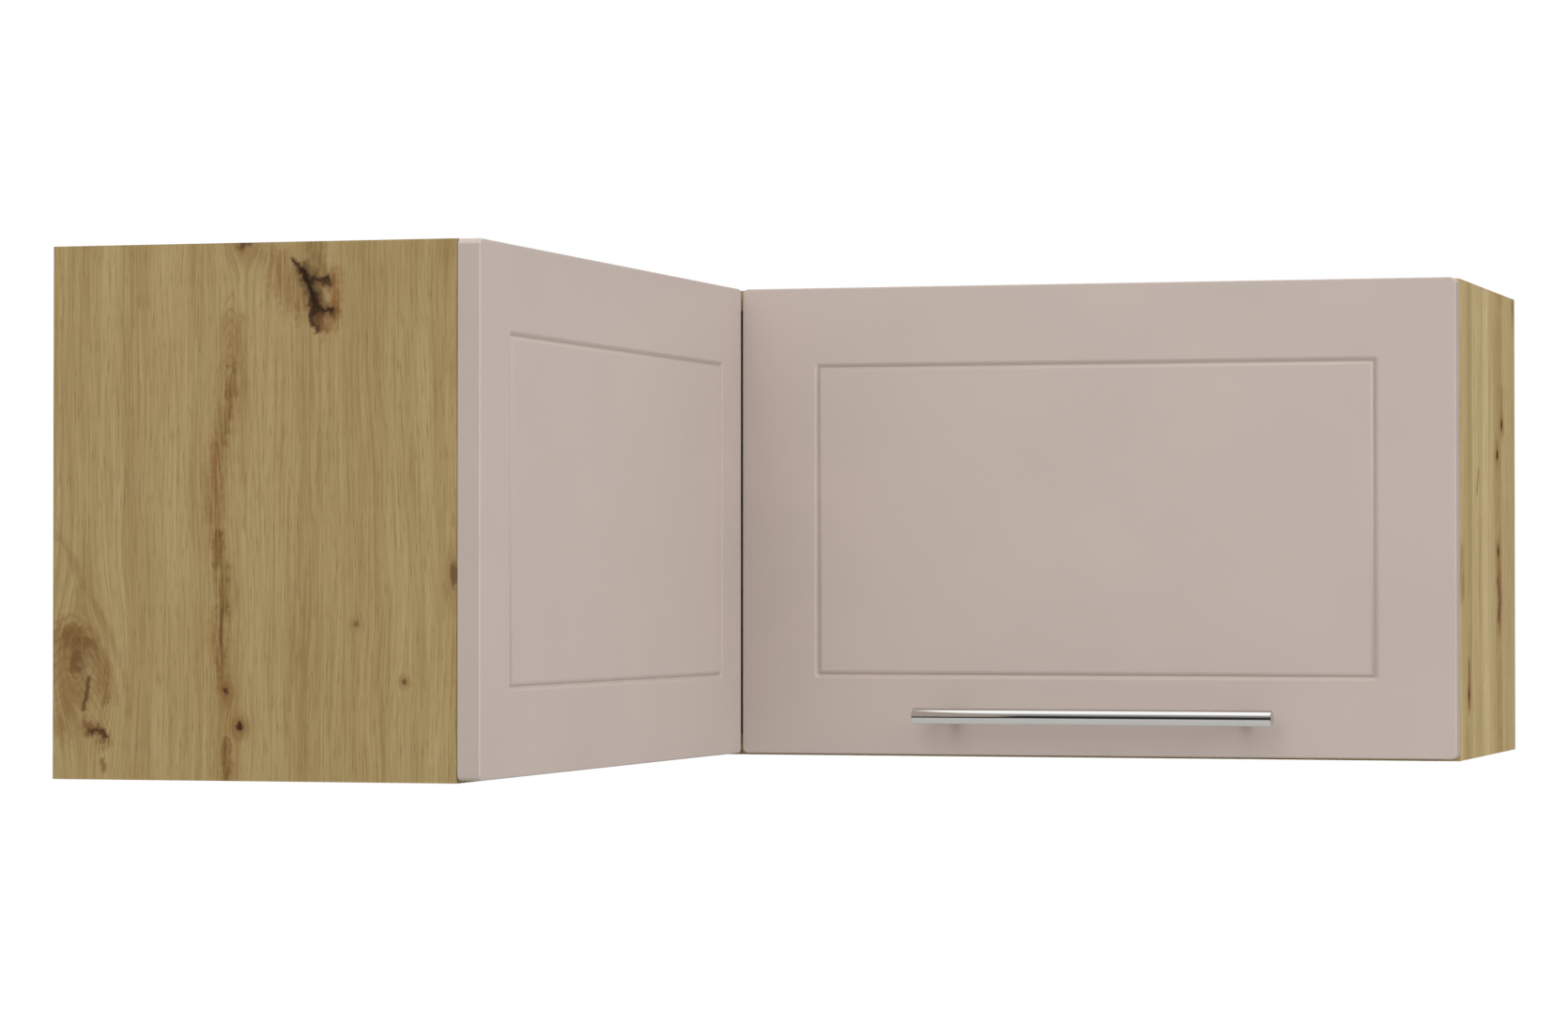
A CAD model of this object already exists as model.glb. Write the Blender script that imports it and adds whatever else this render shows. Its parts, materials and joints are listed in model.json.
import bpy
import json
from math import pi, radians
from mathutils import Matrix, Vector

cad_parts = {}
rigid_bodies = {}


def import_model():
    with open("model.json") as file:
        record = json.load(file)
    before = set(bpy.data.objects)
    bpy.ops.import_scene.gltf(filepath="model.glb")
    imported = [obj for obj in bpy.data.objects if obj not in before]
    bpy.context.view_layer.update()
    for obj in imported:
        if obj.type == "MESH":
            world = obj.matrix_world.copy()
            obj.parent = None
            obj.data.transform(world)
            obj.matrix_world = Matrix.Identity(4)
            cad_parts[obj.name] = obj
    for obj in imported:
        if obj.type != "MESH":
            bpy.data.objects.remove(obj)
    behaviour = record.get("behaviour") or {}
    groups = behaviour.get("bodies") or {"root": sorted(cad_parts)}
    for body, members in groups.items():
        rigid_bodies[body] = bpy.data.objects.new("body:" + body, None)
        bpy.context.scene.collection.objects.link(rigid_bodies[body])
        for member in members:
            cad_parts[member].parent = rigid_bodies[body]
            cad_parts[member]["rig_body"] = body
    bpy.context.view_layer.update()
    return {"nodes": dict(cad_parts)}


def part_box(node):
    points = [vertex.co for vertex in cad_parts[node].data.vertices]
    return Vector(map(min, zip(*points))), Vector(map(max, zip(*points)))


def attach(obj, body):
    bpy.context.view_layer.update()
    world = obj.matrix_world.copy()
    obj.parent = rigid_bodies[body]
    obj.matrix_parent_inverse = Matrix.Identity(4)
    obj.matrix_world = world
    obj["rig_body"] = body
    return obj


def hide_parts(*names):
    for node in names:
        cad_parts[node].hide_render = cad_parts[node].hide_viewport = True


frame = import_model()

MM = 0.001
TOUCHING = 0.01 * MM

scene = bpy.context.scene
scene.view_settings.view_transform = "Standard"

# ---- The view: a long lens from in front of the right wing, a little below mid-height ----
# The camera was fitted to the cabinet's straight edges. The cabinet hangs at wall-unit height,
# so its floor is far below the picture.

LENS_MM = 114.48
SENSOR_MM = 36
CAMERA_PLACE = (1.4245, -3.9937, 0.1288)
TURN_TO_LEFT = 16.385
TILT_UP = 0.889

camera_data = bpy.data.cameras.new("camera")
camera_data.lens = LENS_MM
camera_data.sensor_width = SENSOR_MM
camera = bpy.data.objects.new("camera", camera_data)
camera.location = CAMERA_PLACE
camera.rotation_euler = (radians(90 + TILT_UP), 0, radians(TURN_TO_LEFT))
scene.collection.objects.link(camera)
scene.camera = camera

# ---- Studio light: even daylight and a softbox before each wing ----
# Matt surfaces see daylight that grows upwards. Metal sees a studio of its own: a grey floor,
# a dark line at eye level and a bright ceiling. The softboxes don't show in metal.

WHITE = (1, 1, 1, 1)
DAYLIGHT_BELOW = 0.37
DAYLIGHT_ABOVE = 0.89
MIRRORED_FLOOR = 0.05
MIRRORED_BANDS = ((0.50, 0.02), (0.56, 0.05), (0.62, 0.20), (0.785, 0.55), (0.90, 1.4), (0.95, 1.6))
MIRRORED_CEILING = 1.5
CABINET_MIDDLE = Vector((0.45, -0.4, 0.18))
# (name, place, width, height, watts)
SOFTBOXES = (
    ("softbox_before_flap", Vector((0.3, -3.6, 1.9)), 1.6, 3.6, 52),
    ("softbox_before_left_front", Vector((5.4, -1.3, 2.2)), 2.2, 3.4, 120),
)


def add_node(tree, kind, inputs=None, **settings):
    """Adds a node, sets its properties and fills its sockets with values or links.
    A node given for a socket is linked by its first output in use."""
    node = tree.nodes.new("ShaderNode" + kind)
    for name, value in settings.items():
        setattr(node, name, value)
    for socket, value in (inputs or {}).items():
        if isinstance(value, bpy.types.Node):
            value = next(output for output in value.outputs if output.enabled)
        if isinstance(value, bpy.types.NodeSocket):
            tree.links.new(value, node.inputs[socket])
        else:
            node.inputs[socket].default_value = value
    return node


world = bpy.data.worlds.new("studio")
scene.world = world
world.use_nodes = True
sky = world.node_tree
sky.nodes.clear()
rays = add_node(sky, "LightPath")
direction = add_node(sky, "TexCoord").outputs["Generated"]
height = add_node(sky, "SeparateXYZ", {0: direction}).outputs["Z"]
daylight_level = add_node(sky, "MapRange", {
    0: height, 1: -1.0, 2: 1.0, 3: DAYLIGHT_BELOW, 4: DAYLIGHT_ABOVE})
daylight = add_node(sky, "Background", {"Color": WHITE, "Strength": daylight_level})
band_place = add_node(sky, "MapRange", {0: height, 1: -1.0, 2: 1.0})
bands = add_node(sky, "ValToRGB", {0: band_place})
stops = bands.color_ramp.elements
stops[0].color = (MIRRORED_FLOOR, MIRRORED_FLOOR, MIRRORED_FLOOR, 1)
stops[1].color = (MIRRORED_CEILING, MIRRORED_CEILING, MIRRORED_CEILING, 1)
for place, grey in MIRRORED_BANDS:
    stops.new(place).color = (grey, grey, grey, 1)
mirrored = add_node(sky, "Background", {"Color": bands, "Strength": 1.0})
backdrop = add_node(sky, "Background", {"Color": WHITE, "Strength": 1.0})
lit = add_node(sky, "MixShader", {0: rays.outputs["Is Glossy Ray"], 1: daylight, 2: mirrored})
seen = add_node(sky, "Math", {
    0: rays.outputs["Is Camera Ray"], 1: rays.outputs["Is Transmission Ray"]}, operation="MAXIMUM")
shown = add_node(sky, "MixShader", {0: seen, 1: lit, 2: backdrop})
add_node(sky, "OutputWorld", {0: shown})

for name, place, wide, high, watts in SOFTBOXES:
    lamp_data = bpy.data.lights.new(name, "AREA")
    lamp_data.shape = "RECTANGLE"
    lamp_data.size = wide
    lamp_data.size_y = high
    lamp_data.energy = watts
    lamp = bpy.data.objects.new(name, lamp_data)
    lamp.location = place
    lamp.rotation_euler = (CABINET_MIDDLE - place).to_track_quat("-Z", "Y").to_euler()
    lamp.visible_glossy = False
    scene.collection.objects.link(lamp)

# ---- Floor: plain pale paint ----
# The camera sees the floor pale towards its edge, where it meets the white backdrop. Metal sees
# it end in a dark strip, as it would before a black studio flag.

FLOOR_DROP = 1.45
FLOOR_SIZE = 14
FLAG_FROM = 3.2
FLAG_TO = 4.4
GLOW_IN_METAL = 0.30
PALING_FROM = 2.0
PALING_TO = 6.6
GLOW_NEAR = 0.55
GLOW_AT_EDGE = 1.0


def linear(hex_colour):
    """An sRGB hex colour as the linear colour that a shader socket takes."""
    parts = [int(hex_colour[i:i + 2], 16) / 255 for i in (1, 3, 5)]
    return [p / 12.92 if p <= 0.04045 else ((p + 0.055) / 1.055) ** 2.4 for p in parts] + [1]


def new_material(name):
    """A material with an empty node tree, the tree, and the place on the object in metres."""
    material = bpy.data.materials.new(name)
    material.use_nodes = True
    tree = material.node_tree
    tree.nodes.clear()
    return material, tree, add_node(tree, "TexCoord").outputs["Object"]


paint, tree, place = new_material("floor_paint")
rays = add_node(tree, "LightPath")
far = add_node(tree, "VectorMath", {0: place}, operation="LENGTH")
flag = add_node(tree, "MapRange", {0: far, 1: FLAG_FROM, 2: FLAG_TO})
mirrored_flag = add_node(tree, "Math", {0: flag, 1: rays.outputs["Is Glossy Ray"]}, operation="MULTIPLY")
floor_colour = add_node(tree, "Mix", {
    0: mirrored_flag, 6: linear("#C4C4C2"), 7: linear("#303030")}, data_type="RGBA")
pale = add_node(tree, "BsdfDiffuse", {"Color": floor_colour})
glow = add_node(tree, "Emission", {"Color": WHITE, "Strength": 1.0})
paling = add_node(tree, "MapRange", {
    0: far, 1: PALING_FROM, 2: PALING_TO, 3: GLOW_NEAR, 4: GLOW_AT_EDGE})
camera_glow = add_node(tree, "Math", {0: rays.outputs["Is Camera Ray"], 1: paling}, operation="MULTIPLY")
metal_glow = add_node(tree, "Math", {0: GLOW_IN_METAL, 1: flag}, operation="SUBTRACT", use_clamp=True)
glow_share = add_node(tree, "Math", {
    0: rays.outputs["Is Glossy Ray"], 1: metal_glow, 2: camera_glow}, operation="MULTIPLY_ADD")
mixed = add_node(tree, "MixShader", {0: glow_share, 1: pale, 2: glow})
add_node(tree, "OutputMaterial", {0: mixed})

bpy.ops.object.select_all(action="DESELECT")
bpy.ops.mesh.primitive_plane_add(size=FLOOR_SIZE, location=(0.4, -0.4, -FLOOR_DROP))
floor = bpy.context.object
floor.name = "floor"
floor.data.materials.append(paint)

# ---- Carcass boards: 16 mm chipboard faced with printed oak melamine ----
# The print is a wild oak with upright grain on the end panels. The left one has a cracked knot and
# a brown flame line, the right one a row of small knots. Edges towards the walls are left raw.

CHIPBOARD = "#A68A62"
CHIPBOARD_PALE = "#C4AC84"
CHIPS_PER_MM = 0.45
WALL_EDGE = 0.05 * MM
FIBRE_WANDER = 22
FRAYS_PER_MM = 0.22
HALO_STRENGTH = 0.66
RING_SPACING = 7.5
RING_UNEVENNESS = 22
RING_STRENGTH = 0.34
SOFT_STEP = {"interpolation_type": "SMOOTHSTEP"}
# Marks that follow the fibres: (name, millimetres across, through and along, detail, roughness)
FIBRE_MARKS = (
    ("bands", (22, 40, 900), 2.0, 0.5),
    ("lines", (4.0, 9, 150), 2.0, 0.6),
    ("threads", (1.4, 4, 60), 2.0, 0.6),
    ("pores", (1.0, 3, 15), 1.0, 0.5),
    ("tears", (2.2, 6, 22), 2.0, 0.5),
)
# Inks over the ground, in order: (marks, where the ink starts and is full, strength, colour)
GRAIN_INKS = (
    ("cloud", 0.35, 0.65, 0.50, "#A48E62"),
    ("lines", 0.48, 0.66, 0.30, "#866F3F"),
    ("lines", 0.50, 0.34, 0.26, "#B6A67E"),
    ("threads", 0.48, 0.68, 0.32, "#846D3D"),
    ("threads", 0.50, 0.34, 0.30, "#B6A67E"),
    ("pores", 0.54, 0.70, 0.34, "#775F34"),
)


def oak_print(name, turn=(0, 0, 0), shift=(0, 0, 0), tone=(1, 1, 1),
              knots=(), stains=(), cracks=(), arches=()):
    """Oak melamine, in millimetres of print: X across the grain and Z along it.

    turn and shift: how the print lies on the board. tone: a factor for its red, green and blue
    knots: (across, along, radius, stretch along, darkness)
    stains and cracks: (points, half width, softness, tearing, colour, strength)
    arches: (across, along, steepness, half width, reach) of the growth rings' pointed figures
    """
    material, tree, place = new_material(name)
    millimetres = add_node(tree, "Mapping", {
        "Vector": place, "Location": shift, "Rotation": turn, "Scale": (1000, 1000, 1000)})
    across, through, along = add_node(tree, "SeparateXYZ", {0: millimetres}).outputs
    flat = add_node(tree, "CombineXYZ", {0: across, 2: along})

    def marks(at, size, detail=2.0, rough=0.5):
        """Cloudy marks that measure size (across, through, along) in millimetres."""
        scaled = add_node(tree, "VectorMath", {0: at, 1: [1 / s for s in size]}, operation="MULTIPLY")
        return add_node(tree, "TexNoise", {
            "Vector": scaled, "Scale": 1.0, "Detail": detail, "Roughness": rough})

    # The fibres wander to both sides, and part round each knot.
    wander = marks(millimetres, (80, 80, 300))
    swing = add_node(tree, "Math", {
        0: wander, 1: FIBRE_WANDER, 2: -FIBRE_WANDER / 2}, operation="MULTIPLY_ADD")
    fibre = add_node(tree, "Math", {0: across, 1: swing}, operation="ADD")
    frays = add_node(tree, "TexNoise", {
        "Vector": millimetres, "Scale": FRAYS_PER_MM, "Detail": 3.0, "Roughness": 0.5})
    ragged = add_node(tree, "VectorMath", {
        0: frays.outputs["Color"], 1: (0.5, 0.5, 0.5)}, operation="SUBTRACT")

    # A knot has a dark core of one radius and a brown halo of almost three, with frayed edges.
    knot_inks = []
    for knot_across, knot_along, radius, stretch, darkness in knots:
        from_knot = add_node(tree, "VectorMath", {
            0: flat, 1: (knot_across, 0, knot_along)}, operation="SUBTRACT")
        in_radii = add_node(tree, "VectorMath", {
            0: from_knot, 1: (1 / radius, 0, 1 / (stretch * radius))}, operation="MULTIPLY")
        far = add_node(tree, "VectorMath", {0: in_radii}, operation="LENGTH")
        outward = add_node(tree, "VectorMath", {0: in_radii}, operation="NORMALIZE")
        sideways = add_node(tree, "SeparateXYZ", {0: outward})
        push = add_node(tree, "MapRange", {0: far, 1: 0.4, 2: 4.0, 3: radius, 4: 0.0}, **SOFT_STEP)
        parting = add_node(tree, "Math", {0: push, 1: sideways}, operation="MULTIPLY")
        fibre = add_node(tree, "Math", {0: fibre, 1: parting}, operation="SUBTRACT")
        torn = add_node(tree, "VectorMath", {
            0: ragged, 1: (1.3, 0, 1.3), 2: in_radii}, operation="MULTIPLY_ADD")
        torn_far = add_node(tree, "VectorMath", {0: torn}, operation="LENGTH")
        halo = add_node(tree, "MapRange", {
            0: torn_far, 1: 0.5, 2: 2.8, 3: HALO_STRENGTH * darkness, 4: 0.0}, **SOFT_STEP)
        core = add_node(tree, "MapRange", {
            0: torn_far, 1: 0.3, 2: 1.0, 3: darkness, 4: 0.0}, **SOFT_STEP)
        knot_inks += [(halo, "#7E5A30"), (core, "#42260A")]

    on_fibres = add_node(tree, "CombineXYZ", {0: fibre, 1: through, 2: along})
    grain = {kind: marks(on_fibres, *form) for kind, *form in FIBRE_MARKS}
    grain["cloud"] = marks(millimetres, (60, 60, 120))
    inks = []
    for kind, start, full, strength, shade in GRAIN_INKS:
        share = add_node(tree, "MapRange", {0: grain[kind], 1: start, 2: full, 4: strength}, **SOFT_STEP)
        inks.append((share, shade))

    # Growth rings run into pointed arches where the log was cut near its heart.
    for top_across, top_along, steepness, half_width, reach in arches:
        aside = add_node(tree, "Math", {0: across, 1: top_across}, operation="SUBTRACT")
        squared = add_node(tree, "Math", {0: aside, 1: aside}, operation="MULTIPLY")
        drop = add_node(tree, "Math", {0: squared, 1: steepness}, operation="MULTIPLY")
        below_top = add_node(tree, "Math", {0: top_along, 1: along}, operation="SUBTRACT")
        depth = add_node(tree, "Math", {0: below_top, 1: drop}, operation="SUBTRACT")
        unevenness = marks(millimetres, (18, 18, 40))
        uneven = add_node(tree, "Math", {
            0: unevenness, 1: RING_UNEVENNESS, 2: depth}, operation="MULTIPLY_ADD")
        phase = add_node(tree, "Math", {0: uneven, 1: 2 * pi / RING_SPACING}, operation="MULTIPLY")
        wave = add_node(tree, "Math", {0: phase}, operation="SINE")
        ring = add_node(tree, "MapRange", {0: wave, 1: 0.1, 2: 1.0, 4: RING_STRENGTH}, **SOFT_STEP)
        off_middle = add_node(tree, "Math", {0: aside}, operation="ABSOLUTE")
        for measure, start, end, inside, outside in (
                (off_middle, 0.6 * half_width, half_width, 1.0, 0.0),
                (depth, -4.0, 8.0, 0.0, 1.0),
                (depth, 0.5 * reach, reach, 1.0, 0.0)):
            fade = add_node(tree, "MapRange", {
                0: measure, 1: start, 2: end, 3: inside, 4: outside}, **SOFT_STEP)
            ring = add_node(tree, "Math", {0: ring, 1: fade}, operation="MULTIPLY")
        inks.append((ring, "#7F6136"))

    def stroke(points, half_width, softness, tearing, strength):
        """A torn line through points (across, along), from strength on the line to 0."""
        torn = add_node(tree, "VectorMath", {
            0: ragged, 1: (tearing, 0, 2 * tearing), 2: flat}, operation="MULTIPLY_ADD")
        nearest = None
        for start, end in zip(points, points[1:]):
            origin = Vector((start[0], 0, start[1]))
            run = Vector((end[0], 0, end[1])) - origin
            offset = add_node(tree, "VectorMath", {0: torn, 1: origin}, operation="SUBTRACT")
            ahead = add_node(tree, "VectorMath", {0: offset, 1: run}, operation="DOT_PRODUCT")
            share = add_node(tree, "Math", {
                0: ahead, 1: 1 / run.length_squared}, operation="MULTIPLY", use_clamp=True)
            along_run = add_node(tree, "VectorMath", {0: run, 3: share}, operation="SCALE")
            foot = add_node(tree, "VectorMath", {0: along_run, 1: origin}, operation="ADD")
            far = add_node(tree, "VectorMath", {0: torn, 1: foot}, operation="DISTANCE")
            if nearest is None:
                nearest = far
            else:
                nearest = add_node(tree, "Math", {0: nearest, 1: far}, operation="MINIMUM")
        return add_node(tree, "MapRange", {
            0: nearest, 1: half_width, 2: half_width + softness, 3: strength, 4: 0.0}, **SOFT_STEP)

    # A stain soaks into the fibres unevenly. A crack is equally dark in all of them.
    soaked = add_node(tree, "MapRange", {0: grain["tears"], 1: 0.32, 2: 0.62, 3: 0.30, 4: 1.0}, **SOFT_STEP)
    for points, half_width, softness, tearing, shade, strength in stains:
        dry = stroke(points, half_width, softness, tearing, strength)
        inks.append((add_node(tree, "Math", {0: dry, 1: soaked}, operation="MULTIPLY"), shade))
    for points, half_width, softness, tearing, shade, strength in cracks:
        inks.append((stroke(points, half_width, softness, tearing, strength), shade))

    ground = add_node(tree, "MapRange", {0: grain["bands"], 1: 0.30, 2: 0.70}, **SOFT_STEP)
    colour = add_node(tree, "Mix", {
        0: ground, 6: linear("#988257"), 7: linear("#A9966B")}, data_type="RGBA")
    for share, shade in inks + knot_inks:
        colour = add_node(tree, "Mix", {0: share, 6: colour, 7: linear(shade)}, data_type="RGBA")
    toned = add_node(tree, "VectorMath", {0: colour, 1: tone}, operation="MULTIPLY")

    # The raw edges show a core of glued chips, about 2 mm each.
    room = add_node(tree, "SeparateXYZ", {0: place})
    at_left_wall = add_node(tree, "Math", {0: room.outputs["X"], 1: WALL_EDGE}, operation="LESS_THAN")
    at_back_wall = add_node(tree, "Math", {0: room.outputs["Y"], 1: -WALL_EDGE}, operation="GREATER_THAN")
    at_wall = add_node(tree, "Math", {0: at_left_wall, 1: at_back_wall}, operation="MAXIMUM")
    chips = add_node(tree, "TexVoronoi", {"Vector": millimetres, "Scale": CHIPS_PER_MM}).outputs["Color"]
    chip_shade = add_node(tree, "SeparateXYZ", {0: chips})
    core_colour = add_node(tree, "Mix", {
        0: chip_shade, 6: linear(CHIPBOARD), 7: linear(CHIPBOARD_PALE)}, data_type="RGBA")
    board_colour = add_node(tree, "Mix", {0: at_wall, 6: toned, 7: core_colour}, data_type="RGBA")

    # The printed paper is matt, with fine lines and pores pressed into it.
    matt = add_node(tree, "MapRange", {0: grain["lines"], 1: 0.3, 2: 0.8, 3: 0.50, 4: 0.62}, **SOFT_STEP)
    pits = add_node(tree, "MapRange", {0: grain["pores"], 1: 0.58, 2: 0.72, 4: 0.7}, **SOFT_STEP)
    relief = add_node(tree, "Math", {0: grain["lines"], 1: pits}, operation="SUBTRACT")
    bump = add_node(tree, "Bump", {"Strength": 0.35, "Distance": 0.12 * MM, "Height": relief})
    surface = add_node(tree, "BsdfPrincipled", {
        "Base Color": board_colour, "Roughness": matt, "Specular IOR Level": 0.3, "Normal": bump})
    add_node(tree, "OutputMaterial", {0: surface})
    return material


FACING_SIDE = (0, 0, radians(-90))
ALONG_LEFT_WING = (radians(90), 0, 0)
FLAME = ((130, 306), (130, 267), (125, 239), (119, 212), (117, 186), (120, 156), (125, 125),
         (123, 107), (122, 83), (126, 60), (126, 30), (126, 0))
CRACK_BROWN = "#291608"
CRACK_EDGE = "#5A3A1A"
HEART_BROWN = "#6A4A20"
HEART_RED = "#7E5734"
RING_BROWN = "#7E6134"
VEIN_BROWN = "#6E5228"
oak_left = oak_print(
    "oak_melamine_left_end", tone=(0.93, 0.89, 0.81),
    knots=(
        (139, 362, 8.0, 1.2, 0.75),
        (126, 60, 3.1, 1.3, 0.85),
        (136, 36, 3.9, 1.2, 1.0),
        (22, 78, 13.0, 2.0, 0.14),
        (219, 105, 2.8, 1.0, 0.45),
        (253, 67, 2.8, 1.0, 0.65),
        (288, 138, 3.8, 3.4, 0.60),
    ),
    stains=(
        (FLAME, 2.0, 13.0, 9.0, "#886936", 0.66),
        (((130, 276), (129, 258)), 0.0, 7.0, 9.0, HEART_BROWN, 0.75),
        (((128, 250), (122, 226)), 0.0, 6.5, 9.0, HEART_BROWN, 0.62),
        (((120, 222), (119, 200), (117, 176)), 0.0, 8.5, 10.0, HEART_RED, 0.66),
        (((120, 166), (120, 146)), 0.0, 6.5, 9.0, HEART_BROWN, 0.85),
        (((124, 142), (125, 116)), 0.0, 7.5, 9.0, HEART_BROWN, 0.66),
        (((123, 114), (123, 96)), 0.0, 6.0, 9.0, HEART_BROWN, 0.85),
        (((122, 98), (124, 64)), 0.0, 7.5, 9.0, HEART_BROWN, 0.62),
        (((126, 26), (126, 2)), 0.0, 5.5, 8.0, HEART_BROWN, 0.85),
        (((163, 348), (166, 334), (176, 318)), 1.0, 16.0, 14.0, HEART_RED, 0.70),
        (((189, 360), (193, 342)), 0.0, 11.0, 10.0, "#6E5424", 0.70),
        (((203, 338), (204, 326), (202, 306)), 0.0, 9.0, 10.0, "#83521F", 0.80),
        (((192, 308), (197, 300)), 0.5, 7.0, 9.0, HEART_RED, 0.85),
        (((5, 100), (8, 80), (12, 60), (8, 36)), 1.0, 15.0, 12.0, "#7C5C30", 0.62),
        (((8, 96), (18, 101), (28, 92), (36, 76), (38, 56)), 0.0, 9.0, 9.0, "#76552A", 0.75),
        (((18, 94), (17, 78)), 1.0, 12.0, 12.0, "#6E4E26", 0.85),
        (((0, 166), (10, 158), (20, 136), (42, 98), (53, 68), (55, 44)), 0.0, 4.5, 6.0, RING_BROWN, 0.40),
        (((22, 117), (37, 87), (45, 66), (48, 50)), 0.0, 4.0, 6.0, RING_BROWN, 0.36),
        (((25, 36), (33, 33), (38, 26)), 0.5, 8.0, 9.0, "#6E4A22", 0.80),
    ),
    cracks=(
        (((181, 341), (185, 334), (189, 323), (191, 313)), 2.2, 8.0, 7.0, "#4E3116", 0.80),
        (((188, 316), (193, 302)), 0.0, 6.0, 8.0, "#5F3E1C", 0.75),
        (((190, 335), (199, 333)), 0.6, 6.5, 7.0, CRACK_EDGE, 0.75),
        (((190, 316), (202, 313)), 0.6, 7.0, 7.0, CRACK_EDGE, 0.78),
        (((174, 348), (181, 339)), 0.0, 3.2, 5.0, "#3A2008", 0.92),
        (((181, 339), (185, 333), (188, 325), (190, 315)), 0.4, 4.2, 7.0, CRACK_BROWN, 1.0),
        (((187, 336), (193, 333), (199, 335)), 0.0, 3.2, 6.0, CRACK_BROWN, 0.80),
        (((196, 337), (201, 331)), 0.0, 3.0, 6.0, "#3A2008", 0.70),
        (((189, 318), (196, 313), (201, 314)), 0.1, 3.6, 6.0, CRACK_BROWN, 0.92),
        (((189, 316), (186, 309), (191, 300)), 0.0, 3.4, 6.0, "#3C200A", 0.90),
        (((26, 68), (25, 58), (22, 47)), 0.0, 3.0, 4.0, "#552E12", 0.85),
        (((28, 32), (33, 35), (39, 29)), 0.0, 3.6, 5.0, "#4A280E", 0.92),
        (((36, 13), (38, 7)), 0.0, 3.2, 5.0, "#6E4C20", 0.70),
    ),
    arches=((12, 118, 0.047, 46, 84), (129, 330, 0.35, 17, 90)),
)
oak_right = oak_print(
    "oak_melamine_right_end", turn=FACING_SIDE, shift=(900, 0, 0), tone=(1.31, 1.33, 1.38),
    knots=(
        (827, 257, 8.0, 0.8, 1.0),
        (802, 233, 7.0, 0.8, 1.0),
        (808, 158, 8.0, 0.9, 1.0),
        (655, 49, 6.0, 1.3, 0.95),
        (888, 352, 5.0, 2.4, 0.50),
    ),
    stains=(
        (((812, 360), (806, 200), (812, 0)), 9.0, 16.0, 9.0, "#836838", 0.68),
        (((742, 360), (738, 150), (745, 0)), 8.0, 14.0, 9.0, "#B9A980", 0.50),
        (((655, 360), (660, 120), (650, 0)), 5.0, 12.0, 9.0, "#8A7142", 0.66),
        (((811, 138), (817, 118), (811, 100)), 5.0, 13.0, 9.0, "#76482A", 0.80),
        (((621, 152), (623, 128)), 3.0, 12.0, 8.0, "#7A5E30", 0.75),
    ),
    cracks=(
        (((829, 285), (827, 262)), 0.5, 6.0, 5.0, VEIN_BROWN, 0.65),
        (((802, 243), (802, 236)), 0.5, 6.0, 5.0, VEIN_BROWN, 0.60),
        (((808, 154), (809, 138)), 0.5, 6.0, 5.0, VEIN_BROWN, 0.60),
        (((806, 134), (815, 120), (808, 106)), 0.0, 8.0, 6.0, "#4A2C12", 0.75),
        (((656, 73), (655, 40)), 0.5, 5.5, 4.0, "#523316", 0.80),
        (((697, 203), (704, 217)), 0.5, 6.0, 4.0, VEIN_BROWN, 0.60),
    ),
)
oak_deck = oak_print("oak_melamine_deck", turn=ALONG_LEFT_WING, shift=(300, 0, 0))
oak_post = oak_print("oak_melamine_post", shift=(1300, 300, 900))


def refined(node, material, edge=0.0):
    """A merged copy of a CAD node that stands for it, with its sharp edges broken by edge mm."""
    body = frame["nodes"][node]["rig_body"]
    mesh = frame["nodes"][node].data.copy()
    mesh.materials.clear()
    mesh.materials.append(material)
    piece = bpy.data.objects.new(node + "_finished", mesh)
    scene.collection.objects.link(piece)
    bpy.ops.object.select_all(action="DESELECT")
    piece.select_set(True)
    bpy.context.view_layer.objects.active = piece
    bpy.ops.object.mode_set(mode="EDIT")
    bpy.ops.mesh.select_all(action="SELECT")
    bpy.ops.mesh.remove_doubles(threshold=TOUCHING)
    bpy.ops.mesh.dissolve_limited(angle_limit=radians(0.5))
    bpy.ops.object.mode_set(mode="OBJECT")
    if edge:
        bevel = piece.modifiers.new("broken_edge", "BEVEL")
        bevel.width = edge * MM
        bevel.segments = 2
        bevel.limit_method = "ANGLE"
        bevel.angle_limit = radians(50)
        bpy.ops.object.modifier_apply(modifier=bevel.name)
    bpy.ops.object.shade_smooth_by_angle(angle=radians(40))
    even = piece.modifiers.new("flat_faces", "WEIGHTED_NORMAL")
    even.keep_sharp = True
    bpy.ops.object.modifier_apply(modifier=even.name)
    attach(piece, body)
    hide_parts(node)


refined("left_end_panel", oak_left, 0.5)
refined("right_end_panel", oak_right, 0.5)
refined("top_panel", oak_deck, 0.3)
refined("bottom_panel", oak_deck, 0.3)
refined("rear_corner_post", oak_post, 0.3)
refined("inner_corner_post", oak_post, 0.3)

# ---- Backs: 3 mm hardboard in grooves, white lacquer inside and raw fibre towards the wall ----
# The sheets have a window for each hanger hook, which reaches the rail behind them. The lacquer
# has a low gloss, and the brown fibre side is dull and pitted.

BACK_MIDDLE = 18.5 * MM
FIBRES_PER_METRE = 420
LACQUER_CLOUDS_PER_METRE = 9

back_sheet, tree, place = new_material("lacquered_hardboard")
room = add_node(tree, "SeparateXYZ", {0: place})
faces_left_wall = add_node(tree, "Math", {0: room.outputs["X"], 1: BACK_MIDDLE}, operation="LESS_THAN")
faces_back_wall = add_node(tree, "Math", {0: room.outputs["Y"], 1: -BACK_MIDDLE}, operation="GREATER_THAN")
wall_side = add_node(tree, "Math", {0: faces_left_wall, 1: faces_back_wall}, operation="MAXIMUM")
fibres = add_node(tree, "TexNoise", {"Vector": place, "Scale": FIBRES_PER_METRE, "Detail": 4.0})
brown = add_node(tree, "Mix", {0: fibres, 6: linear("#6E4F35"), 7: linear("#8E6C4C")}, data_type="RGBA")
cloud = add_node(tree, "TexNoise", {"Vector": place, "Scale": LACQUER_CLOUDS_PER_METRE, "Detail": 2.0})
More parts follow.
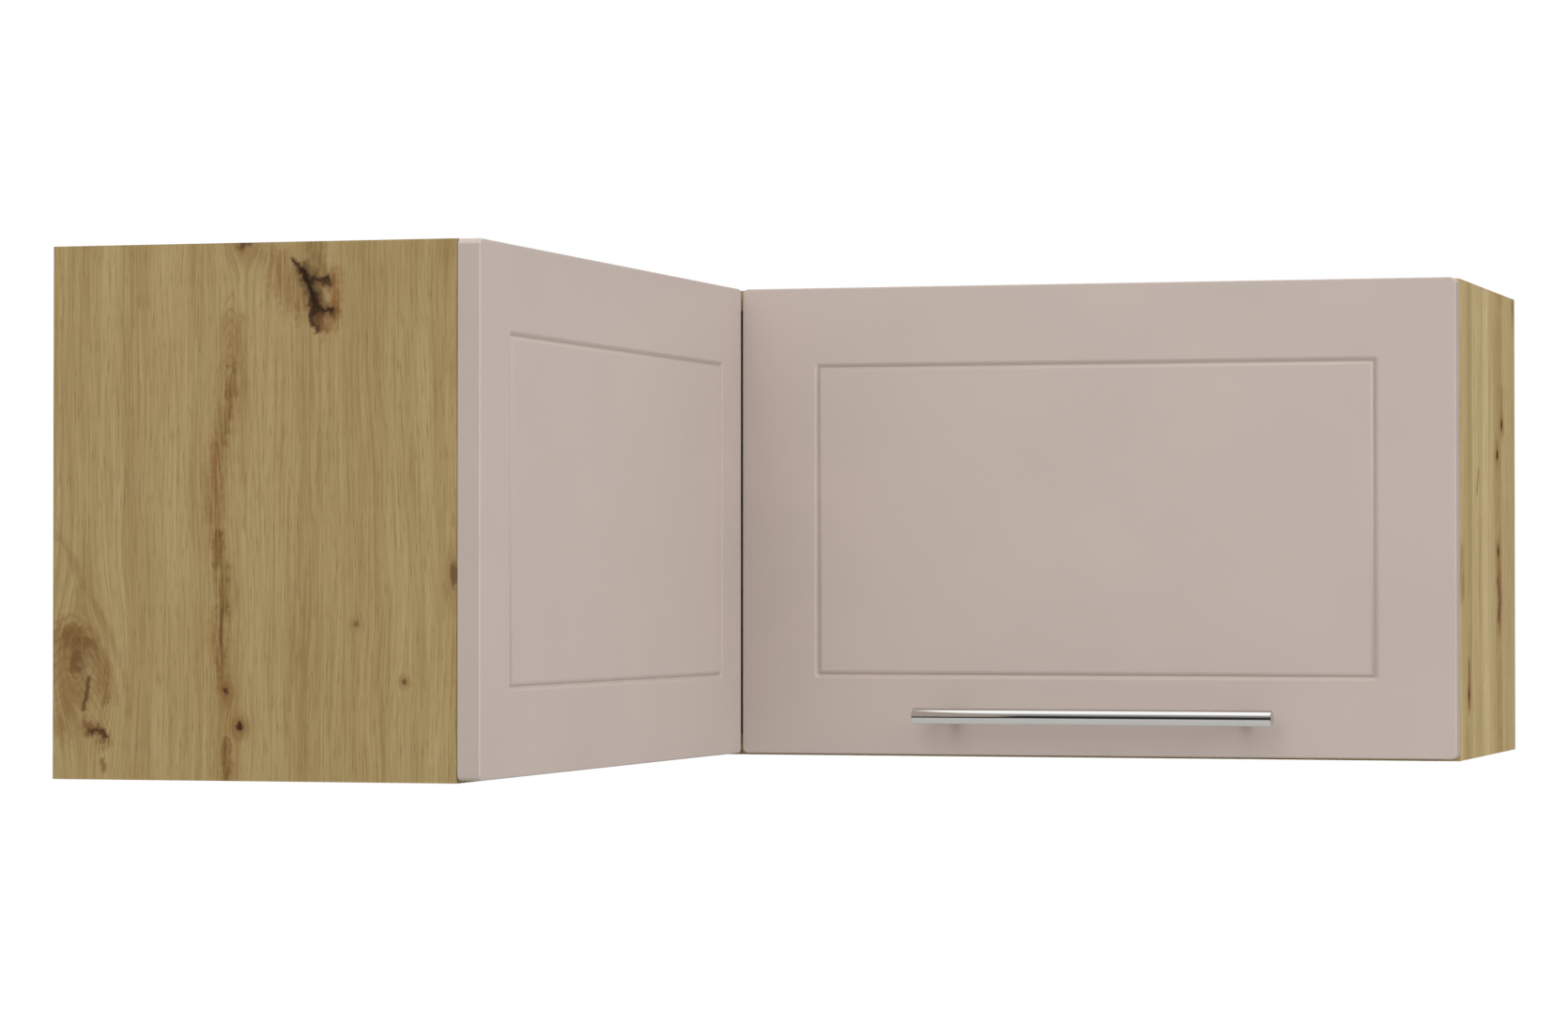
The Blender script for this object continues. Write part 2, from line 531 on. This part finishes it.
white = add_node(tree, "Mix", {0: cloud, 6: linear("#E2DED4"), 7: linear("#E9E6DE")}, data_type="RGBA")
sides = add_node(tree, "Mix", {0: wall_side, 6: white, 7: brown}, data_type="RGBA")
gloss = add_node(tree, "MapRange", {0: wall_side, 3: 0.42, 4: 0.85})
bump = add_node(tree, "Bump", {"Strength": 0.2, "Distance": 0.1 * MM, "Height": fibres})
surface = add_node(tree, "BsdfPrincipled", {"Base Color": sides, "Roughness": gloss, "Normal": bump})
add_node(tree, "OutputMaterial", {0: surface})

refined("back_panel_left", back_sheet)
refined("back_panel_right", back_sheet)

# ---- Fronts: 16 mm fibreboard wrapped in matt cashmere foil ----
# The face edge is rounded over, and a V-shaped line with soft lips is routed in the face to look
# like a frame. The foil is drawn over all of it in a vacuum press, and is thinner on the ends.

EDGE_ROUND = 1.2
CORNER_ROUND = 4.5
BACK_ROUND = 0.4
LINE_HALF_WIDTH = 3.4
LINE_DEPTH = 2.4
LINE_STEPS = 5
LINE_LIP = 1.7
LINE_CORNER = 3.7
LINE_MARGIN = 61
CORNER_LINE_MARGIN = 52
CUP_HOLE_RADIUS = 17.5
CUP_HOLE_CLEARANCE = 0.5
SCREW_HOLE_RADIUS = 2.3
SCREW_HOLE_CLEARANCE = 5
FOIL_CLOUDS_PER_METRE = 11
EMBOSS_PER_METRE = 1900


def foil(name, low, high):
    """Matt foil with a faint cloudiness between two colours and an emboss of half a millimetre."""
    material, tree, place = new_material(name)
    cloud = add_node(tree, "TexNoise", {"Vector": place, "Scale": FOIL_CLOUDS_PER_METRE, "Detail": 3.0})
    tint = add_node(tree, "MapRange", {0: cloud, 1: 0.35, 2: 0.65})
    tinted = add_node(tree, "Mix", {0: tint, 6: linear(low), 7: linear(high)}, data_type="RGBA")
    matt = add_node(tree, "MapRange", {0: cloud, 3: 0.55, 4: 0.58})
    emboss = add_node(tree, "TexNoise", {"Vector": place, "Scale": EMBOSS_PER_METRE, "Detail": 2.0})
    bump = add_node(tree, "Bump", {"Strength": 0.12, "Distance": 0.05 * MM, "Height": emboss})
    surface = add_node(tree, "BsdfPrincipled", {
        "Base Color": tinted, "Roughness": matt, "Specular IOR Level": 0.3, "Normal": bump})
    add_node(tree, "OutputMaterial", {0: surface})
    return material


face_foil = foil("matt_foil_on_face", "#BAADA5", "#BDAFA7")
end_foil = foil("matt_foil_drawn_over_ends", "#AFA299", "#B1A49B")


def select_where(piece, kind, test):
    """Selects in edit mode the edges or faces whose middle and direction pass the test."""
    bpy.ops.object.mode_set(mode="EDIT")
    bpy.ops.mesh.select_mode(type=kind)
    bpy.ops.mesh.select_all(action="DESELECT")
    bpy.ops.object.mode_set(mode="OBJECT")
    mesh = piece.data
    if kind == "EDGE":
        for edge in mesh.edges:
            a, b = (mesh.vertices[i].co for i in edge.vertices)
            edge.select = test((a + b) / 2, b - a)
    else:
        for face in mesh.polygons:
            face.select = test(face.center, face.normal)
    bpy.ops.object.mode_set(mode="EDIT")


def routed_front(node, far_margin, turned=False):
    """A front modelled facing -Y with its length along X, then turned to face +X if need be.
    far_margin is from the end on +X to the middle of the line."""
    low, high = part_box(node)
    size = high - low
    length = size.y if turned else size.x
    thick = size.x if turned else size.y
    half_length = length / 2
    half_height = size.z / 2
    face_y = -thick / 2
    bpy.ops.object.select_all(action="DESELECT")
    bpy.ops.mesh.primitive_cube_add(size=1, scale=(length, thick, size.z))
    front = bpy.context.object
    front.name = node + "_routed"
    bpy.ops.object.transform_apply(location=True, rotation=True, scale=True)
    select_where(front, "EDGE", lambda at, along: abs(along.y) > 0.9 * thick)
    bpy.ops.mesh.bevel(offset=CORNER_ROUND * MM, segments=6)
    select_where(front, "EDGE", lambda at, along: abs(at.y - face_y) < TOUCHING)
    bpy.ops.mesh.bevel(offset=EDGE_ROUND * MM, segments=6)
    select_where(front, "EDGE", lambda at, along: abs(at.y + face_y) < TOUCHING)
    bpy.ops.mesh.bevel(offset=BACK_ROUND * MM, segments=2)

    # Four straight cuts mark the outer lip of the line in the flat face.
    inset = (LINE_MARGIN - LINE_HALF_WIDTH) * MM
    far_inset = (far_margin - LINE_HALF_WIDTH) * MM
    cuts = (((-half_length + inset, 0, 0), (1, 0, 0)), ((half_length - far_inset, 0, 0), (1, 0, 0)),
            ((0, 0, -half_height + inset), (0, 0, 1)), ((0, 0, half_height - inset), (0, 0, 1)))
    for point, direction in cuts:
        select_where(front, "FACE", lambda at, normal: abs(at.y - face_y) < TOUCHING)
        bpy.ops.mesh.bisect(plane_co=point, plane_no=direction)

    def select_middle(level):
        """Selects the face inside the line, which lies at level."""
        middle = Vector(((inset - far_inset) / 2, level, 0))
        select_where(front, "FACE", lambda at, normal: (
            (at - middle).length < 5 * MM and normal.y < -0.9))

    select_middle(face_y)
    bpy.ops.mesh.bevel(affect="VERTICES", offset=LINE_CORNER * MM, segments=6)

    # The line: insets that sink and then rise again, with the corners drawn together between.
    # The first inset sinks least, which gives the line its soft lip.
    depths = [LINE_DEPTH * (step / LINE_STEPS) ** LINE_LIP * MM for step in range(LINE_STEPS + 1)]
    for before, after in zip(depths, depths[1:]):
        select_middle(face_y + before)
        bpy.ops.mesh.inset(thickness=LINE_HALF_WIDTH / LINE_STEPS * MM, depth=before - after)
    select_where(front, "EDGE", lambda at, along: (
        along.length < 0.3 * MM and abs(at.y - face_y - depths[-1]) < TOUCHING))
    bpy.ops.mesh.edge_collapse()
    for before, after in zip(depths[::-1], depths[-2::-1]):
        select_middle(face_y + before)
        bpy.ops.mesh.inset(thickness=LINE_HALF_WIDTH / LINE_STEPS * MM, depth=before - after)

    select_where(front, "FACE", lambda at, normal: abs(normal.y) < 0.3 and max(
        abs(at.x) - half_length, abs(at.z) - half_height) > -0.2 * MM)
    front.data.materials.append(face_foil)
    front.data.materials.append(end_foil)
    front.active_material_index = 1
    bpy.ops.object.material_slot_assign()
    bpy.ops.object.mode_set(mode="OBJECT")
    front.rotation_euler = (0, 0, radians(90) if turned else 0)
    front.location = (low + high) / 2
    bpy.ops.object.transform_apply(location=True, rotation=True, scale=True)
    return front


def drill_for(board, node, radius, clearance):
    """Drills the flap from its back for a round piece, past the piece's far end."""
    low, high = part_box(node)
    far = low.y - clearance * MM
    near = high.y + 2 * MM
    bpy.ops.object.select_all(action="DESELECT")
    bpy.ops.mesh.primitive_cylinder_add(
        vertices=48, radius=radius * MM, depth=near - far, rotation=(radians(90), 0, 0),
        location=((low.x + high.x) / 2, (near + far) / 2, (low.z + high.z) / 2))
    drill = bpy.context.object
    bpy.ops.object.select_all(action="DESELECT")
    board.select_set(True)
    bpy.context.view_layer.objects.active = board
    hole = board.modifiers.new("hole", "BOOLEAN")
    hole.operation = "DIFFERENCE"
    hole.object = drill
    bpy.ops.object.modifier_apply(modifier=hole.name)
    bpy.data.objects.remove(drill)


def foiled(board, node, body):
    """Shades a front as one smooth skin and hands it over in place of its node."""
    bpy.ops.object.select_all(action="DESELECT")
    board.select_set(True)
    bpy.context.view_layer.objects.active = board
    bpy.ops.object.shade_smooth_by_angle(angle=radians(50))
    even = board.modifiers.new("flat_faces", "WEIGHTED_NORMAL")
    even.keep_sharp = True
    bpy.ops.object.modifier_apply(modifier=even.name)
    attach(board, body)
    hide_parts(node)


fixed_board = routed_front("left_front", CORNER_LINE_MARGIN, turned=True)
foiled(fixed_board, "left_front", "carcass")
flap_board = routed_front("flap_front", LINE_MARGIN)
for side in ("left", "right"):
    drill_for(flap_board, "hinge_cup_" + side, CUP_HOLE_RADIUS, CUP_HOLE_CLEARANCE)
    drill_for(flap_board, "handle_screw_" + side, SCREW_HOLE_RADIUS, SCREW_HOLE_CLEARANCE)
foiled(flap_board, "flap_front", "flap")

# ---- Cam joints: two die-cast zinc drums in each end of a deck and the bolts that they pull ----
# The drums are tumbled, which leaves them dull, and lie just under the deck's surface with a
# cross slot for the screwdriver. The steel bolts have the blue-white sheen of zinc plate.

DARKER_IN_MARKS = 0.86
SMOOTHEST = 0.8
ROUGHEST = 1.2


def metal(name, colour, roughness, grain_mm, grain_depth):
    """A plated or bare metal with fine marks of the size grain_mm (x, y, z), darker and either
    smoother or rougher than the rest."""
    material, tree, place = new_material(name)
    scaled = add_node(tree, "VectorMath", {
        0: place, 1: [1000 / size for size in grain_mm]}, operation="MULTIPLY")
    marks = add_node(tree, "TexNoise", {"Vector": scaled, "Scale": 1.0, "Detail": 2.0})
    darker = [DARKER_IN_MARKS * part for part in linear(colour)[:3]] + [1]
    varied = add_node(tree, "Mix", {0: marks, 6: darker, 7: linear(colour)}, data_type="RGBA")
    spread = add_node(tree, "MapRange", {
        0: marks, 1: 0.3, 2: 0.7, 3: SMOOTHEST * roughness, 4: ROUGHEST * roughness})
    bump = add_node(tree, "Bump", {"Strength": 0.25, "Distance": grain_depth * MM, "Height": marks})
    surface = add_node(tree, "BsdfPrincipled", {
        "Base Color": varied, "Roughness": spread, "Metallic": 1.0, "Normal": bump})
    add_node(tree, "OutputMaterial", {0: surface})
    return material


cast_zinc = metal("tumbled_die_cast_zinc", "#9C9D9E", 0.48, (0.6, 0.6, 0.6), 0.02)
zinc = metal("zinc_plated_steel", "#B9BEC4", 0.34, (2.0, 2.0, 2.0), 0.006)
for deck in ("top", "bottom"):
    for end in ("left", "right"):
        for number in (1, 2):
            refined(f"cam_{deck}_{end}_{number}", cast_zinc, 0.15)
            refined(f"cam_bolt_{deck}_{end}_{number}", zinc)

# ---- Screws: one cross-recessed pan head, copied to every place that has one ----
# The zinc-plated heads hold the hinge plates, cups, arms, hangers, stay, brackets and post.

HEAD_RADIUS = 3.6
HEAD_HEIGHT = 1.6
HEAD_ROUND = 0.9
RECESS_LENGTH = 3.4
RECESS_WIDTH = 0.75
RECESS_DEPTH = 0.9
SCREW_TURN = 20

bpy.ops.object.select_all(action="DESELECT")
bpy.ops.mesh.primitive_cylinder_add(
    vertices=24, radius=HEAD_RADIUS * MM, depth=HEAD_HEIGHT * MM, location=(0, 0, HEAD_HEIGHT / 2 * MM))
screw = bpy.context.object
bpy.ops.object.transform_apply(location=True, rotation=True, scale=True)
select_where(screw, "EDGE", lambda at, along: at.z > 0.99 * HEAD_HEIGHT * MM)
bpy.ops.mesh.bevel(offset=HEAD_ROUND * MM, segments=4)
bpy.ops.object.mode_set(mode="OBJECT")
for turn in (0, 90):
    bpy.ops.object.select_all(action="DESELECT")
    bpy.ops.mesh.primitive_cube_add(
        size=1, location=(0, 0, HEAD_HEIGHT * MM), rotation=(0, 0, radians(turn)),
        scale=(RECESS_LENGTH * MM, RECESS_WIDTH * MM, 2 * RECESS_DEPTH * MM))
    recess_cutter = bpy.context.object
    bpy.ops.object.select_all(action="DESELECT")
    screw.select_set(True)
    bpy.context.view_layer.objects.active = screw
    recess = screw.modifiers.new("recess", "BOOLEAN")
    recess.operation = "DIFFERENCE"
    recess.object = recess_cutter
    bpy.ops.object.modifier_apply(modifier=recess.name)
    bpy.data.objects.remove(recess_cutter)
bpy.ops.object.shade_smooth_by_angle(angle=radians(35))
screw.data.materials.append(zinc)
screw_mesh = screw.data
bpy.data.objects.remove(screw)
screw_count = {}


def set_screws(group, body, places, towards):
    """Copies of the screw at places in metres, with their heads facing the direction towards."""
    facing = Vector(towards).to_track_quat("Z", "Y").to_matrix().to_4x4()
    for place in places:
        number = screw_count.get(group, 0) + 1
        screw_count[group] = number
        mesh = screw_mesh.copy()
        own_turn = Matrix.Rotation(radians(SCREW_TURN * number), 4, "Z")
        mesh.transform(Matrix.Translation(place) @ facing @ own_turn)
        copy = bpy.data.objects.new(f"{group}_screw_{number}", mesh)
        scene.collection.objects.link(copy)
        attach(copy, body)


# ---- Hangers: a moulded housing on a board's inner face and a steel hook over the rail ----
# Two recessed screws in each housing's front raise the hook and pull it in. The plastic has the
# fine spark-eroded grain of its mould.

HANGER_SCREW_Z = (0.3317, 0.306)
HANGER_SCREW_RECESS = 4
PALER_PLACES_PER_METRE = 30
PALER_BY = 1.05


def moulded(name, colour, roughness, grain_mm):
    """A moulded plastic, a touch paler in places, with a grain of the size grain_mm."""
    material, tree, place = new_material(name)
    grain = add_node(tree, "TexNoise", {"Vector": place, "Scale": 1000 / grain_mm, "Detail": 2.0})
    paler_places = add_node(tree, "TexNoise", {"Vector": place, "Scale": PALER_PLACES_PER_METRE})
    paler = [min(1.0, PALER_BY * part) for part in linear(colour)[:3]] + [1]
    varied = add_node(tree, "Mix", {0: paler_places, 6: linear(colour), 7: paler}, data_type="RGBA")
    bump = add_node(tree, "Bump", {"Strength": 0.3, "Distance": 0.02 * MM, "Height": grain})
    surface = add_node(tree, "BsdfPrincipled", {
        "Base Color": varied, "Roughness": roughness, "Normal": bump})
    add_node(tree, "OutputMaterial", {0: surface})
    return material


hanger_plastic = moulded("moulded_hanger_plastic", "#E6E3DA", 0.45, 0.6)
for side in ("left", "corner", "right"):
    refined("hanger_housing_" + side, hanger_plastic, 0.4)
    refined("hanger_hook_" + side, zinc, 0.2)
    low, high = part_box("hanger_housing_" + side)
    middle = (low + high) / 2
    if side == "left":
        screw_x = high.x - HANGER_SCREW_RECESS * MM
        set_screws("hanger", "carcass", [(screw_x, middle.y, z) for z in HANGER_SCREW_Z], (1, 0, 0))
    else:
        screw_y = low.y + HANGER_SCREW_RECESS * MM
        set_screws("hanger", "carcass", [(middle.x, screw_y, z) for z in HANGER_SCREW_Z], (0, -1, 0))

# ---- Brackets: two zinc-plated angles that hold the fixed front's outer end to the decks ----
# Each has a pressed gusset and two screws in each leg. Two more screws go through the inner post.

BRACKET_SHEET = 2
BRACKET_SCREW_STEPS = (-8.5, 8.5)
BRACKET_SCREW_IN = 7
BRACKET_SCREW_UP = 21
POST_SCREW_Z = (0.09, 0.27)

for name, upwards in (("front_bracket_bottom", 1), ("front_bracket_top", -1)):
    refined(name, zinc, 0.25)
    low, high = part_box(name)
    deck_z = low.z if upwards == 1 else high.z
    on_leg = deck_z + upwards * BRACKET_SHEET * MM
    up_leg = deck_z + upwards * BRACKET_SCREW_UP * MM
    for step in BRACKET_SCREW_STEPS:
        screw_y = (low.y + high.y) / 2 + step * MM
        set_screws("bracket", "carcass", [(low.x + BRACKET_SCREW_IN * MM, screw_y, on_leg)], (0, 0, upwards))
        set_screws("bracket", "carcass", [(high.x - BRACKET_SHEET * MM, screw_y, up_leg)], (-1, 0, 0))
low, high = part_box("inner_corner_post")
set_screws("post", "carcass", [(low.x, (low.y + high.y) / 2, z) for z in POST_SCREW_Z], (-1, 0, 0))

# ---- Flap hinges: concealed steel hinges with seven pins ----
# A plate under the top deck, an arm on it, a cup in the flap, and four levers between them. The
# pressings are nickel-plated, bright and warm, and the two inner levers are zinc-plated.

CARCASS_FRONT_Y = -0.290
DECK_TOP_Z = 0.36
# Screws, in millimetres right of the hinge's middle, behind the front edge and under the top
PLATE_SCREWS = ((-18, 58, 18.1), (18, 58, 18.1))
ARM_SCREWS = ((0, 50, 28), (0, 66, 28))
CUP_SCREWS = ((-24, -0.2, 29.5), (24, -0.2, 29.5))

nickel = metal("nickel_plated_pressing", "#CBC7BE", 0.24, (1.2, 1.2, 1.2), 0.004)
for side in ("left", "right"):
    for part in ("plate", "arm", "cup"):
        refined(f"hinge_{part}_{side}", nickel, 0.12)
    for part in ("cup_link", "outer_link"):
        refined(f"hinge_{part}_{side}", nickel, 0.1)
    for part in ("main_lever", "tail_lever"):
        refined(f"hinge_{part}_{side}", zinc, 0.1)
    low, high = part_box("hinge_plate_" + side)
    for group, body, screws, towards in (
            ("hinge_plate", "carcass", PLATE_SCREWS, (0, 0, -1)),
            ("hinge_arm", "carcass", ARM_SCREWS, (0, 0, -1)),
            ("hinge_cup", "flap", CUP_SCREWS, (0, 1, 0))):
        places = [((low.x + high.x) / 2 + right * MM, CARCASS_FRONT_Y + behind * MM, DECK_TOP_Z - under * MM)
                  for right, behind, under in screws]
        set_screws(group, body, places, towards)

# ---- Flap stay: a moulded spring housing, a plated arm and link, and a bracket ----
# The arm and link fold into the cabinet beside the end panel when the flap is shut. The housing
# is a grey plastic with the same grain as the hangers.

END_PANEL_X = 0.844
# Screws, in millimetres from the end panel, behind the front edge and under the top
HOUSING_SCREWS = ((11.3, 104, 56), (11.3, 104, 84), (11.3, 58, 86))
STAY_BRACKET_SCREWS = ((35.2, 1.3, 68), (35.2, 1.3, 92))

stay_plastic = moulded("moulded_stay_housing", "#D2D1CD", 0.40, 0.6)
refined("stay_housing", stay_plastic)
refined("stay_arm", zinc, 0.25)
refined("stay_link", zinc, 0.25)
refined("stay_flap_bracket", nickel, 0.2)
for group, body, screws, towards in (
        ("stay", "carcass", HOUSING_SCREWS, (-1, 0, 0)),
        ("stay_bracket", "flap", STAY_BRACKET_SCREWS, (0, 1, 0))):
    places = [(END_PANEL_X - left * MM, CARCASS_FRONT_Y + behind * MM, DECK_TOP_Z - under * MM)
              for left, behind, under in screws]
    set_screws(group, body, places, towards)

# ---- Handle: a 12 mm polished steel bar on two posts, screwed from inside the flap ----
# The bar's ends are turned off square and lightly rounded, and the posts are saddled to it. Fine
# polishing marks run along the bar.

BAR_END_ROUND = 0.7

handle_steel = metal("polished_steel_handle", "#D6D5D3", 0.12, (60, 0.35, 0.35), 0.004)
bar_low, bar_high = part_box("handle_bar")
bpy.ops.object.select_all(action="DESELECT")
bpy.ops.mesh.primitive_cylinder_add(
    vertices=72, radius=(bar_high.z - bar_low.z) / 2, depth=bar_high.x - bar_low.x,
    location=(bar_low + bar_high) / 2, rotation=(0, radians(90), 0))
bar = bpy.context.object
bar.name = "handle_bar_turned"
bpy.ops.object.transform_apply(location=True, rotation=True, scale=True)
select_where(bar, "EDGE", lambda at, along: min(abs(at.x - bar_low.x), abs(at.x - bar_high.x)) < TOUCHING)
bpy.ops.mesh.bevel(offset=BAR_END_ROUND * MM, segments=3)
bpy.ops.object.mode_set(mode="OBJECT")
bpy.ops.object.shade_smooth_by_angle(angle=radians(35))
bar.data.materials.append(handle_steel)
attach(bar, "flap")
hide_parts("handle_bar")
for side in ("left", "right"):
    refined("handle_post_" + side, handle_steel, 0.15)
    refined("handle_screw_" + side, zinc)

# ---- Bumpers: thin clear pads on the carcass where the flap closes ----
# Polyurethane discs with sloping rims, cast clear on their own adhesive, with a faint haze in them.

HAZE_PER_METRE = 500

pad, tree, place = new_material("clear_polyurethane")
haze = add_node(tree, "TexNoise", {"Vector": place, "Scale": HAZE_PER_METRE})
hazy = add_node(tree, "Mix", {0: haze, 6: linear("#D9DADB"), 7: linear("#E8E9EA")}, data_type="RGBA")
surface = add_node(tree, "BsdfPrincipled", {
    "Base Color": hazy, "Roughness": 0.25, "IOR": 1.5, "Transmission Weight": 0.6})
add_node(tree, "OutputMaterial", {0: surface})
for side in ("left", "right"):
    refined("bumper_" + side, pad)
